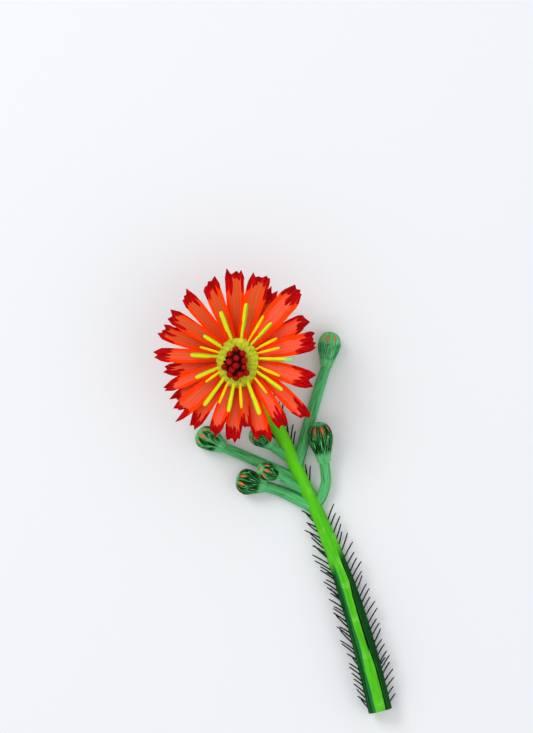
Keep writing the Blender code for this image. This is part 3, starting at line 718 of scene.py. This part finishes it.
def yellowRing():
    make = ringMake
    chance = random.Random(11)
    tongue = strap(make["ripple"], make["tongue"])
    shape(tongue)
    for at in make["notches"]:
        pick(lambda v: v.co.y > 2.1 and abs(v.co.x - at) < 0.03)
        move(y=-make["notch"])
    shaped()
    smooth(tongue, 1)
    markStrap(tongue, make["tongue"])
    modify(tongue, "SOLIDIFY", thickness=make["thickness"], offset=0)

    parts = []
    middle = Matrix.Translation((*make["middle"], 0))
    for tier, (count, share, root, high, rise, width) in enumerate(make["tiers"]):
        for i in range(count):
            turn = 2 * pi * (i + 0.5 * tier + chance.uniform(-0.15, 0.15)) / count
            reach = share / hypot(sin(turn) / make["half"][0], cos(turn) / make["half"][1])
            far = reach - root - chance.uniform(0, 0.25)
            matrix = (middle @ spun("Z", turn)
                      @ Matrix.Translation((0, root, high + chance.uniform(0, 0.06)))
                      @ spun("X", atan(rise))
                      @ spun("Y", radians(chance.uniform(-7, 7)))
                      @ sized(width, far / make["tongue"][-1][0], 1))
            parts.append(twin(tongue, matrix))
            retone(parts[-1], chance.random())
    discard(tongue)
    core = turned(make["core"], 32)
    core.matrix_world = middle @ sized(0.92, 1.1, 1)
    mark(core, lambda v: (0.6, 2, 0.4))
    settle(dress(joined("yellow_ring", parts + [core]), yellowFinish()), "yellow_florets", "yellow_florets")


yellowRing()


styleMake = {
    "root": 1.9,
    "height": 11.62,
    "slope": 0.26,
    "radius": 0.27,
    "club": ((0, 0.5), (0.6, 0.58), (1.8, 0.76), (3, 0.92), (3.9, 1.05), (4.8, 1.14), (5.5, 1.08),
             (5.86, 0.85), (6, 0.5)),    # the far end is moved for each copy
    "greenEnded": 358,
    "styles": (    # angle, reach, and how thick it is
        (14, 6.3, 0.75), (27, 6.4, 0.75), (47, 7.2, 1.15), (60, 7.3, 0.8), (82, 8.2, 1.3), (111, 7.4, 1.45),
        (148, 6.2, 1.25), (164, 6, 0.72), (176, 7.2, 1.3), (205, 7.1, 1.3), (216, 6.1, 0.72), (234, 8.8, 1.3),
        (247, 7.4, 0.8), (259, 8.2, 1.25), (273, 7.5, 0.82), (290, 9, 1.45), (308, 6.7, 0.72),
        (323, 8.1, 1.25), (337, 6.7, 0.78), (358, 8.1, 1.3),
    ),
}


def styleSpray():
    make = styleMake
    style = rod(8, [(along, make["radius"] * wide, 0) for along, wide in make["club"]])
    smooth(style, 1)
    parts = []
    for number, (angle, reach, girth) in enumerate(make["styles"]):
        chance = random.Random(number + 50)
        length = (reach - make["root"]) * hypot(1, make["slope"])
        copy = twin(style)
        shape(copy)
        pick(lambda v: v.co.y > 2.4)
        move(chance.uniform(-0.08, 0.08), length - make["club"][-1][0], 0)
        pick(lambda v: v.co.y > length - 2.6)
        move(chance.uniform(-0.06, 0.06), 0, chance.uniform(-0.12, 0.1))
        pick(lambda v: length - 2.6 < v.co.y < length - 1)
        grow(chance.uniform(0.9, 1.1), 1, 1, (0, length, 0))
        shaped()
        tone = 0.99 if angle == make["greenEnded"] else 0.45 * chance.random() + 0.5 * (girth > 0.9)
        mark(copy, lambda v: (v.co.x / make["radius"], length - v.co.y, tone))
        copy.matrix_world = (spun("Z", radians(angle - 90))
                             @ Matrix.Translation((0, make["root"], make["height"]))
                             @ spun("X", atan(make["slope"]))
                             @ spun("Y", chance.uniform(-0.6, 0.6))
                             @ sized(girth, 1, min(girth, 1.1)))
        parts.append(copy)
    discard(style)
    settle(dress(joined("styles", parts), styleFinish()), "yellow_florets", "yellow_florets")


styleSpray()


# The closed florets in the middle, like glossy beads on a dark oval cushion.
centreMake = {
    "florets": (    # from the cushion's middle
        (0, 2.14), (-0.88, 1.41), (1.05, 1.5), (0.11, 0.8), (1.28, 0.45), (-0.92, 0.28), (0.02, -0.3),
        (-1.68, -0.49), (1.25, -0.49), (-0.58, -0.88), (1.58, -1.34), (0.68, -1.58), (-0.86, -1.63),
        (0.02, -2.13),
    ),
    "middle": (-0.45, -0.86),
    "base": 12.4,
    "radius": 0.575,
    "cushion": (1.7, 2.2),    # half widths of the oval
    "rise": 0.7,
    "foot": 0.58,
    "lift": 0.15,
    "under": ((0, 12.1), (0.72, 12.1), (0.72, 12.8), (0.88, 12.95)),    # the cushion's outline below its top
    "fillers": 52,
}


def cushionHeight(x, y):
    make = centreMake
    wide = min(1, (x / make["cushion"][0]) ** 2 + (y / make["cushion"][1]) ** 2)
    return make["base"] + make["foot"] + make["rise"] * (1.1 - wide)


def oneBead():
    radius = centreMake["radius"]
    only()
    bpy.ops.mesh.primitive_uv_sphere_add(segments=10, ring_count=8, radius=radius)
    bead = added()
    shape(bead)
    pick(lambda v: round(atan2(v.co.y, v.co.x) / radians(36)) % 2 and v.co.z > -0.2
         and v.co.xy.length > 0.1)
    grow(0.86, 0.86, 0.97)    # five grooves between the closed lobes
    pick(lambda v: v.co.z > radius * 0.98)
    move(z=-0.12)
    shaped()
    smooth(bead, 2)
    mark(bead, lambda v: v.co / radius)
    return bead


def centreFlorets():
    make = centreMake
    chance = random.Random(5)
    bead = oneBead()
    parts = []
    for x, y in make["florets"]:
        lean = Vector((x / make["cushion"][0] ** 2, y / make["cushion"][1] ** 2, 1.2)).normalized()
        size = chance.uniform(0.95, 1.04)
        parts.append(twin(bead, Matrix.Translation((x, y, cushionHeight(x, y) + make["lift"]))
                          @ lean.to_track_quat("Z", "Y").to_matrix().to_4x4()
                          @ spun("Z", chance.uniform(0, 6)) @ sized(size, size, size)))
    middle = (*make["middle"], 0)
    settle(dress(joined("centre_beads", parts, middle), beadFinish()), "centre_florets", "centre_florets")

    cushion = turned([*make["under"], *((wide, cushionHeight(wide * make["cushion"][0], 0))
                                        for wide in (0.98, 0.8, 0.5, 0))], 24)
    shape(cushion)
    grow(*make["cushion"], 1)
    shaped()
    smooth(cushion, 1)
    parts = [cushion]
    for i in range(make["fillers"]):    # small dark florets in the gaps
        wide = 0.98 * sqrt((i + 0.5) / make["fillers"])
        x = make["cushion"][0] * wide * cos(i * goldenAngle)
        y = make["cushion"][1] * wide * sin(i * goldenAngle)
        if min(hypot(x - a, y - b) for a, b in make["florets"]) < 0.5:
            continue
        size = chance.uniform(0.34, 0.44)
        parts.append(twin(bead, Matrix.Translation((x, y, cushionHeight(x, y) + 0.02))
                          @ spun("Z", chance.uniform(0, 6)) @ sized(size, size, size)))
    discard(bead)
    black = grainyFinish("cushionBlack", 0.5, 0.12, 3.5, rgb(8, 4, 2), rgb(40, 6, 8), 0.4, 0.12)
    settle(dress(joined("centre_cushion", parts, middle), black), "centre_florets", "centre_florets")


centreFlorets()


# Bracts are straps shrunk on to a turned form.

def bractRing(form, outline, count, room, start, offset, thickness, keel, tones, rows):
    # rows are (height, share of the room), where room is half the angle that a bract may cover
    heights = [(high, radius) for radius, high in outline[1:-1]]
    flat = [(high, between(heights, high) * sin(room * share), 0, 0) for high, share in rows]
    blade = strap((0,) * 5, flat)
    blade.rotation_euler = (radians(90), 0, radians(90))
    blade = joined("bract", [blade], (6, 0, 0))
    modify(blade, "SHRINKWRAP", target=form, wrap_method="PROJECT", wrap_mode="ABOVE_SURFACE", offset=offset,
           use_project_x=True, use_negative_direction=True, use_positive_direction=False)
    shape(blade)
    pick(lambda v: abs(v.co.y) < 0.01)
    move(x=keel)
    shaped()
    smooth(blade, 1)
    markStrap(blade, flat)
    modify(blade, "SOLIDIFY", thickness=thickness, offset=1)
    parts = []
    for i in range(count):
        parts.append(twin(blade, spun("Z", start + 2 * pi * i / count)))
        retone(parts[-1], tones[i % len(tones)])
    discard(blade)
    return parts


cupMake = {
    "base": 3.85,
    "outline": ((0, 0), (1.05, 0), (1.5, 0.42), (1.95, 0.94), (2.28, 1.66), (2.46, 2.5), (2.52, 3.12),
                (2.54, 3.54), (2.52, 4.26), (2.42, 5.2), (2.3, 5.5), (0, 5.5)),
    "count": 10,
    "thickness": 0.15,
    "keel": 0.05,
    "tones": (0.42, 0.6, 0.5, 0.36, 0.55),
    "rings": (    # start in degrees, offset, rows
        (0, 0.04, ((0.8, 0.95), (1.8, 0.95), (2.8, 0.9), (3.7, 0.75), (4.5, 0.55), (5.1, 0.3), (5.45, 0.08))),
        (18, 0.18, ((0.3, 0.95), (1.2, 0.95), (2.1, 0.9), (3, 0.78), (3.8, 0.55), (4.45, 0.32),
                    (4.95, 0.08))),
        (4, 0.33, ((0.05, 0.95), (0.6, 0.95), (1.3, 0.9), (2, 0.8), (2.6, 0.62), (3.2, 0.4), (3.75, 0.1))),
    ),
}


def openCup():
    make = cupMake
    form = turned(make["outline"], 40)
    parts = []
    for start, offset, rows in make["rings"]:
        parts += bractRing(form, make["outline"], make["count"], pi / make["count"],
                           radians(start), offset, make["thickness"], make["keel"], make["tones"], rows)
    mark(form, lambda v: (0, 1, 1))
    cup = joined("flower_cup", parts + [form], (0, 0, make["base"]))
    mark(cup, lambda v: (0, 0, 3), "budPlace")
    dress(cup, bractFinish("cupBractGreen", rgb(92, 150, 70), rgb(52, 116, 44), rgb(18, 66, 20),
                           rgb(6, 36, 10), rgb(40, 90, 50)))
    settle(cup, "bracts", "flower_bracts")


openCup()


# One bud is modelled and copied. Its rings of bracts and petals list what bractRing() takes.
budMake = {
    "length": 5,
    "girth": 1.5,
    "outline": ((0, 0), (0.55, 0), (0.66, 0.3), (0.74, 0.8), (0.88, 1.35), (1.06, 1.9), (1.24, 2.45),
                (1.36, 3), (1.39, 3.4), (1.33, 3.85), (1.16, 4.3), (0.88, 4.64), (0.5, 4.83), (0.2, 4.89),
                (0, 4.9)),
    "bracts": (
        (8, pi / 8, 0, 0.05, 0.12, 0.03, (0, 0.1, 0.03, 0.12, 0.06),
         ((0.05, 0.97), (0.8, 0.97), (1.6, 0.97), (2.4, 0.97), (3, 0.97), (3.55, 0.97), (3.85, 0.76),
          (4.15, 0.58), (4.42, 0.6), (4.66, 0.88), (4.8, 0.97), (4.87, 0.97))),
        (5, pi / 5, 0.3, 0.15, 0.11, 0.04, (0.08, 0, 0.1, 0.04, 0.12),
         ((0.05, 0.9), (0.7, 0.92), (1.4, 0.9), (2, 0.8), (2.6, 0.6), (3.1, 0.34), (3.5, 0.08))),
    ),
    "petals": (7, radians(26), 0.2, -0.02, 0.07, 0.05, (0.1, 0.5, 0.9, 0.3, 0.7, 0.2, 0.6),
               ((2.6, 0.95), (3.2, 0.95), (3.8, 0.9), (4.3, 0.85), (4.6, 0.7), (4.78, 0.4))),
    "stalkRings": 40,
    "stalkSides": 14,
    "swelling": 0.12,    # of the stalk where it leaves the stem
    "sink": 0.9,    # how far the stalk runs into the bud
    "neck": 0.432,    # the stalk's radius there, as a share of the bud's
    "buds": (    # heading, rise, length, radius, whether it rests, spin, tone, the stalk's radius and line
        (82, 6, 5.2, 1.64, True, 10, 0.12, 0.88,
         ((8.5, -17.2, 0.9), (9.5, -13.6, 0.85), (10.6, -9.6, 0.85), (11.8, -5.4, 0.9), (13.1, -1.25, 1.2))),
        (99, 14, 6.1, 1.78, False, 40, 0.95, 0.8,
         ((11.2, -22.3, 0.85), (12.3, -21.2, 1), (12.95, -19.4, 1.5), (13.1, -18.2, 1.75), (12.8, -15.6, 2))),
        (150, 5, 4.6, 1.74, True, 20, 0.52, 0.78,
         ((9.3, -18.6, 0.8), (6.3, -17.1, 0.82), (3, -15.7, 0.85), (0.2, -14.5, 0.9), (-2.3, -13.5, 1.2))),
        (142, 28, 3.9, 1.34, False, 0, 0.78, 0.68,
         ((8.2, -15.7, 0.8), (7.1, -14.8, 1.05), (6.1, -14.1, 1.8), (5.3, -13.6, 2.3), (4.65, -13.15, 2.5))),
        (158, 42, 4.2, 1.32, False, 30, 0.84, 0.67,
         ((10.2, -20.3, 0.9), (9, -19.6, 1.2), (8, -19, 2), (7.1, -18.45, 2.95), (5.95, -17.75, 3.5))),
        (166, 5, 4.5, 1.84, True, 50, 1, 0.88,
         ((10.9, -22.3, 0.9), (8.6, -21.2, 0.9), (6.3, -20.1, 0.95), (4, -19.3, 1.3))),
    ),
}
growth = []    # (place, radius) of what bristles keep clear of


def modelBud():
    make = budMake
    form = turned(make["outline"], 40)
    parts = []
    for ring in make["bracts"]:
        parts += bractRing(form, make["outline"], *ring)
    green = joined("green", parts)
    mark(green, lambda v: v.co, "budPlace")

    parts = bractRing(form, make["outline"], *make["petals"])
    shape(form)    # the form becomes the body that the petals close over
    grow(0.97, 0.97, 0.995)
    shaped()
    mark(form, lambda v: (0.3, 1, 0.5))
    return green, joined("tip", parts + [form])


def stalkLine(route, base, axis, girth, thick):
    # points of (x, y, z, radius) from the stem into the bud
    make = budMake
    line = []
    places = smoothLine([*route[:-1], base, base + axis * make["sink"]], make["stalkRings"])
    for i, place in enumerate(places):
        share = i / (len(places) - 1)
        radius = thick + (girth * make["neck"] - thick) * share**3
        radius *= 1 + make["swelling"] * max(0, 1 - share * 8)
        line.append((*place.xy, max(place.z, radius), radius))
        growth.append((place, radius))
    return line


def addBuds():
    make = budMake
    green, tip = modelBud()
    bractGreen = bractFinish("budBractGreen", rgb(116, 198, 132), rgb(70, 164, 94), rgb(2, 92, 32),
                             rgb(0, 46, 0), rgb(36, 120, 78))
    stalkGreen, salmon = stalkFinish(), budPetalFinish()
    for number, bud in enumerate(make["buds"], start=1):
        heading, rise, length, girth, rests, spin, tone, thick, route = bud
        axis = spun("Z", radians(heading)) @ spun("Y", -radians(rise)) @ Vector((1, 0, 0))
        wide = girth / make["girth"]
        turn = (axis.to_track_quat("Z", "Y").to_matrix().to_4x4() @ spun("Z", radians(spin))
                @ sized(wide, wide, length / make["length"]))
        base = Vector(route[-1])
        if rests:
            base.z = -min((turn @ v.co).z for v in green.data.vertices)
        turn = Matrix.Translation(base) @ turn
        bracts = dress(twin(green, turn), bractGreen)
        retone(bracts, tone * 0.9, 1)
        petals = dress(joined(f"bud_{number}_petals", [twin(tip, turn)]), salmon)
        line = stalkLine(route, base, axis, girth, thick)
        growth.extend((base + axis * length * i / 9, girth + 0.3) for i in range(10))
        stalk = dress(tube(line, make["stalkSides"]), stalkGreen)
        markTube(stalk, line)
        settle(joined(f"bud_{number}_green", [bracts, stalk]), "bud", f"bud_{number}")
        settle(petals, "bud_petals", f"bud_petals_{number}")
    discard(green)
    discard(tip)


addBuds()


# The stem lies on the surface and turns up under the flower. Its line is (x, y, radius).
stemMake = {
    "line": (
        (21.27, -53.12, 1.8), (18.9, -43.6, 1.72), (16.1, -34.4, 1.5), (12.6, -25.2, 1.12),
        (8.9, -17.2, 1.05), (5.8, -10.5, 1.08), (1.2, -2.2, 1.05),
    ),
    "rings": 120,
    "sides": 24,
    "bend": 2.5,    # radius of the turn to upright
    "bendSteps": 12,
    "cutEnd": ((0.12, 0.05), (0.3, 0), (0.12, -0.35), (0.5, -0.15)),    # insets, and moves outward
}


def stemLine():
    make = stemMake
    line = [(p.x, p.y, p.z, p.z) for p in smoothLine(make["line"], make["rings"])]
    x, y, z, radius = line[-1]
    level = Vector((-x, -y, 0)).normalized()
    for i in range(1, make["bendSteps"] + 1):
        turn = radians(90) * i / make["bendSteps"]
        place = Vector((x, y, z)) + level * make["bend"] * sin(turn)
        line.append((place.x, place.y, z + make["bend"] * (1 - cos(turn)), radius))
    line.append((*line[-1][:2], cupMake["base"] + 0.2, radius))
    return line


def layStem():
    make = stemMake
    line = stemLine()
    stem = joined("main_stem", [tube(line, make["sides"])])
    start = Vector(line[0][:3])
    back = (start - Vector(line[1][:3])).normalized()
    shape(stem)
    pick(lambda f: f.normal.dot(back) > 0.95 and (f.calc_center_median() - start).length < 2.5, "faces")
    for inset, depth in make["cutEnd"]:
        bpy.ops.mesh.inset(thickness=inset)
        if depth:
            move(*(back * depth))
    shaped()
    pith = grainyFinish("stemPith", 0.7, 0.2, 5, rgb(176, 214, 120), rgb(214, 232, 170), 0.35, 0.1)
    dress(stem, stemFinish(), pith)
    for face in stem.data.polygons:
        if (face.center - start).length < 1.6 and abs(face.normal.dot(back)) > 0.6:
            face.material_index = 1
    markTube(stem, line)
    settle(stem, "stem", "stem")
    return line


# Black bristles stand out on both sides of the stem and lean towards the flower.
bristleMake = {
    "length": 2.85,
    "root": 0.12,
    "sides": 5,
    "spacing": (0.84, 1.02),    # left, right
    "sunk": 0.3,
    "lowest": 0.2,
    "stop": 2.2,    # the end of the stem has none
    "stretches": (0.72, 1.15),
    "clearance": 0.15,
    "cupRoom": 3.4,    # bristles stay under this height, or this far from the flower's axis
    "closer": ((0, 1), (28, 1), (34, 0.6), (99, 0.55)),    # leaning less between the stalks
    "sizes": ((0, 0.72), (12, 1), (99, 1)),    # shorter near the cut end
    "edges": (23.9, -53.3),    # furthest right and nearest the viewer that a tip may reach
    "rows": (    # degrees up from the level side, share kept, degrees from the stem's line, length's share
        (6, 1, 38, 1), (28, 0.05, 38, 0.85), (-18, 0.05, 38, 0.9),
    ),
}


def isClear(spot, tip):
    # inside the edges, and away from stalks, buds and the cup
    make = bristleMake
    checks = [spot.lerp(tip, t) for t in (0.35, 0.7, 1)]
    return (tip.x <= make["edges"][0] and tip.y >= make["edges"][1]
            and all((place - point).length >= radius + make["clearance"]
                    for place, radius in growth for point in checks)
            and all(point.z <= make["cupRoom"] or point.xy.length >= make["cupRoom"] for point in checks))


def oneBristle():
    make = bristleMake
    length, root = make["length"], make["root"]
    hair = rod(make["sides"], ((0, root * 1.2, 0), (make["sunk"] + 0.15, root, 0), (length * 0.5, root, 0.05),
                               (length * 0.85, root * 0.95, 0.15), (length * 0.97, root * 0.75, 0.21),
                               (length, root * 0.4, 0.22)))
    mark(hair, lambda v: (v.co.x, length - v.co.y, 0))
    return hair


def standBristles(line):
    make = bristleMake
    chance = random.Random(21)
    hair = oneBristle()
    places = [Vector(p[:3]) for p in line]
    far = milestones(places)
    up = Vector((0, 0, 1))
    parts = []
    rows = [(side, spacing, *row) for side, spacing in zip((-1, 1), make["spacing"]) for row in make["rows"]]
    for side, spacing, level, share, lean, size in rows:
        along = 0.4 + chance.random() * 0.5
        while along < far[-1] - make["stop"]:
            here = along + chance.uniform(-0.15, 0.15)
            along += spacing
            if chance.random() > share:
                continue
            k = max(i for i in range(len(far) - 1) if far[i] <= max(here, 0))
            ahead = (places[k + 1] - places[k]).normalized()
            across = ahead.cross(up).normalized() * side
            rise = radians(level + chance.uniform(-9, 9))
            radial = across * cos(rise) + up * sin(rise)
            angle = radians(lean * between(make["closer"], here) + 4 * side + chance.uniform(-4, 4))
            leaning = (ahead * cos(angle) + radial * sin(angle)).normalized()
            stretch = size * chance.uniform(*make["stretches"]) * between(make["sizes"], here)
            reach = make["length"] * stretch
            spot = places[k] + ahead * (here - far[k]) + radial * (line[k][3] - make["sunk"])
            tip = spot + leaning * reach
            if tip.z < make["lowest"]:
                leaning = (leaning + up * ((make["lowest"] - tip.z) / reach)).normalized()
                tip = spot + leaning * reach
            if not isClear(spot, tip):
                continue
            bow = radial - leaning * radial.dot(leaning)
            bow = bow.normalized() * (1 if chance.random() < 0.7 else -1)
            if bow.z < 0 and tip.z < 0.6:
                bow = -bow
            matrix = Matrix((leaning.cross(bow), leaning, bow)).transposed().to_4x4()
            matrix.translation = spot
            parts.append(twin(hair, matrix @ sized(1, stretch, 1)))
            retone(parts[-1], chance.random())
    discard(hair)
    settle(dress(joined("stem_bristles", parts), bristleFinish()), "stem", "stem", smoothAngle=60)


standBristles(layStem())


# Floor, light and camera
studio = {
    "floor": rgb(226, 228, 231),
    "sky": 0.86,
    "keyPower": 1.6,
    "fillPower": 0.4,
    "lens": 250,
    "sensor": 36,
    "viewHeight": 0.10995,    # metres that the photograph's height covers
    "aim": (-0.001525, 0.018825, 0.005),
}

floorPaint = Paint("paleFloor", 0.85, 0.15, studio["floor"])
floorGrain = floorPaint.noise(floorPaint.millimetres(), 0.05)
floorPaint.colour = floorPaint.blend(floorGrain * 0.06, studio["floor"], rgb(222, 224, 226))
only()
bpy.ops.mesh.primitive_plane_add(size=3, location=(0, 0, 0))
floor = dress(added(), floorPaint.done())
floor.name = "floor"


def addLight(name, place, power, size):
    only()
    bpy.ops.object.light_add(type="AREA", location=place)
    light = bpy.context.object
    light.name = name
    light.data.energy = power
    light.data.size = size
    light.rotation_euler = (Vector((0, 0.01, 0.005)) - Vector(place)).to_track_quat("-Z", "Y").to_euler()


addLight("window", (-0.34, 0.3, 0.46), studio["keyPower"], 0.28)
addLight("bounce", (0.42, -0.22, 0.34), studio["fillPower"], 0.5)

world = bpy.data.worlds.new("studio")
bpy.context.scene.world = world
world.use_nodes = True
sky = world.node_tree.nodes["Background"]
sky.inputs["Color"].default_value = (1, 1, 1, 1)
sky.inputs["Strength"].default_value = studio["sky"]

only()
aim = Vector(studio["aim"])
away = Vector((0, 0, studio["viewHeight"] * studio["lens"] / studio["sensor"]))
bpy.ops.object.camera_add(location=aim + away)
camera = bpy.context.object
camera.name = "camera"
camera.data.lens = studio["lens"]
camera.data.sensor_width = studio["sensor"]
bpy.context.scene.camera = camera
bpy.context.scene.view_settings.view_transform = "Standard"
print("studio set")
